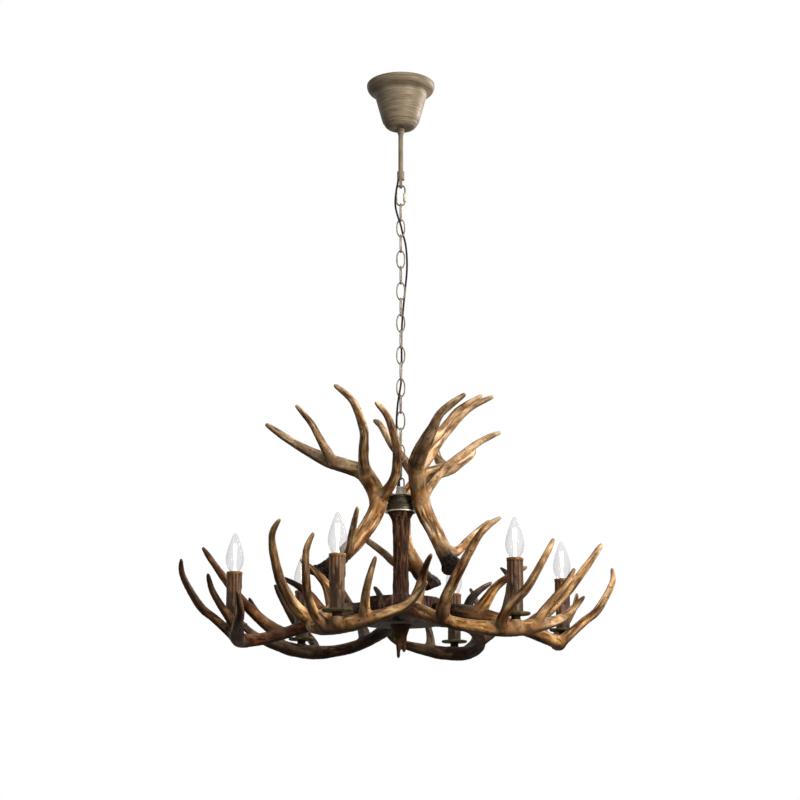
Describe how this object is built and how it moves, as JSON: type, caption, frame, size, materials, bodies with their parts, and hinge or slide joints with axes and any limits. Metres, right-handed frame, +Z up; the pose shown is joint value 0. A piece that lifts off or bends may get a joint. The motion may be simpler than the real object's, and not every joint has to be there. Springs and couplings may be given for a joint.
{
  "type": "antler chandelier",
  "caption": "Hanging antler chandelier: candle arms swept round a hub, upper antlers on a bark column, chain, stem and ceiling canopy.",
  "frame": {"origin": "centre of the ceiling bracket's two screw slots, on the ceiling plane", "axes": "+Z up out of the ceiling bracket along the chain, X to the right of the front view, Y away from the viewer"},
  "size_m": [0.834, 0.7904, 1.1675],
  "materials": {
    "zinc_plated_steel": "zinc plated",
    "brushed_bronze": "brushed, antique bronze lacquer",
    "aged_nickel": "aged nickel",
    "dark_bronze": "dark patina",
    "connector_plastic": "moulded",
    "antler_resin": "cast and stained as antler",
    "bark": "rough bark",
    "olive_plate": "dark olive paint",
    "candle_wax": "dripped wax look, brown",
    "black_plastic": "moulded",
    "bulb_glass": "clear",
    "bulb_cap": "plated",
    "filament": "coated sticks on a glass stem",
    "fabric_cord": "black braided cord"
  },
  "bodies": {
    "ceiling_mount": {"ceiling_bracket": "zinc_plated_steel", "stem": "brushed_bronze", "stem_nuts": "zinc_plated_steel", "terminal_block": "connector_plastic", "stem_coupling": "brushed_bronze"},
    "canopy": {"canopy": "brushed_bronze", "lock_collar": "brushed_bronze", "grub_screw": "zinc_plated_steel"},
    "quick_link": {"quick_link": "aged_nickel"},
    "quick_link_sleeve": {"quick_link_sleeve": "aged_nickel"},
    "chain": {"chain_links_side": "aged_nickel", "chain_links_front": "aged_nickel", "supply_cord": "fabric_cord"},
    "last_link": {"last_link": "aged_nickel"},
    "chandelier": {"top_loop": "dark_bronze", "neck": "aged_nickel", "collar": "dark_bronze", "collar_washer": "dark_bronze", "column": "bark", "hub": "bark", "hub_plate": "olive_plate", "hub_nut": "zinc_plated_steel", "tie_rod": "zinc_plated_steel", "finial": "antler_resin", "arm_studs": "zinc_plated_steel", "arm_nuts": "zinc_plated_steel", "upper_studs": "zinc_plated_steel", "plate_spacers": "zinc_plated_steel", "drip_plates": "olive_plate", "candle_nipples": "zinc_plated_steel", "lampholders": "black_plastic", "candle_sleeves": "candle_wax", "lower_antler_1": "antler_resin", "lower_antler_2": "antler_resin", "lower_antler_3": "antler_resin", "lower_antler_4": "antler_resin", "lower_antler_5": "antler_resin", "lower_antler_6": "antler_resin", "upper_antler_1": "antler_resin", "upper_antler_2": "antler_resin", "upper_antler_3": "antler_resin"},
    "bulb_1": {"bulb_glass_1": "bulb_glass", "bulb_cap_1": "bulb_cap", "bulb_filaments_1": "filament"},
    "bulb_2": {"bulb_glass_2": "bulb_glass", "bulb_cap_2": "bulb_cap", "bulb_filaments_2": "filament"},
    "bulb_3": {"bulb_glass_3": "bulb_glass", "bulb_cap_3": "bulb_cap", "bulb_filaments_3": "filament"},
    "bulb_4": {"bulb_glass_4": "bulb_glass", "bulb_cap_4": "bulb_cap", "bulb_filaments_4": "filament"},
    "bulb_5": {"bulb_glass_5": "bulb_glass", "bulb_cap_5": "bulb_cap", "bulb_filaments_5": "filament"},
    "bulb_6": {"bulb_glass_6": "bulb_glass", "bulb_cap_6": "bulb_cap", "bulb_filaments_6": "filament"}
  },
  "joints": [
    {"name": "canopy_slide", "type": "slide", "parent": "ceiling_mount", "child": "canopy", "axis": [0, 0, -1], "range_m": [0, 0.078]},
    {"name": "eye_hinge", "type": "hinge", "parent": "ceiling_mount", "child": "quick_link", "pos_m": [0, 0, -0.2185], "axis": [1, 0, 0], "range_deg": [-25, 25], "deforming": ["supply_cord"]},
    {"name": "sleeve_slide", "type": "slide", "parent": "quick_link", "child": "quick_link_sleeve", "axis": [0, 0, 1], "range_m": [0, 0.009]},
    {"name": "chain_hinge", "type": "hinge", "parent": "quick_link", "child": "chain", "pos_m": [0, 0, -0.2581], "axis": [0, 1, 0], "range_deg": [-20, 20], "deforming": ["supply_cord"]},
    {"name": "last_link_hinge", "type": "hinge", "parent": "chain", "child": "last_link", "pos_m": [0, 0, -0.79085], "axis": [1, 0, 0], "range_deg": [-25, 25]},
    {"name": "bail_hinge", "type": "hinge", "parent": "last_link", "child": "chandelier", "pos_m": [0, 0, -0.8241], "axis": [0, 1, 0], "range_deg": [-12, 12], "deforming": ["supply_cord"]},
    {"name": "bulb_turn_1", "type": "hinge", "parent": "chandelier", "child": "bulb_1", "pos_m": [0.31455, 0.05309, -1.03], "axis": [0, 0, 1], "range_deg": [0, 1440]},
    {"name": "bulb_turn_2", "type": "hinge", "parent": "chandelier", "child": "bulb_2", "pos_m": [0.1113, 0.29895, -1.03], "axis": [0, 0, 1], "range_deg": [0, 1440]},
    {"name": "bulb_turn_3", "type": "hinge", "parent": "chandelier", "child": "bulb_3", "pos_m": [-0.20325, 0.24586, -1.03], "axis": [0, 0, 1], "range_deg": [0, 1440]},
    {"name": "bulb_turn_4", "type": "hinge", "parent": "chandelier", "child": "bulb_4", "pos_m": [-0.31455, -0.05309, -1.03], "axis": [0, 0, 1], "range_deg": [0, 1440]},
    {"name": "bulb_turn_5", "type": "hinge", "parent": "chandelier", "child": "bulb_5", "pos_m": [-0.1113, -0.29895, -1.03], "axis": [0, 0, 1], "range_deg": [0, 1440]},
    {"name": "bulb_turn_6", "type": "hinge", "parent": "chandelier", "child": "bulb_6", "pos_m": [0.20325, -0.24586, -1.03], "axis": [0, 0, 1], "range_deg": [0, 1440]}
  ]
}
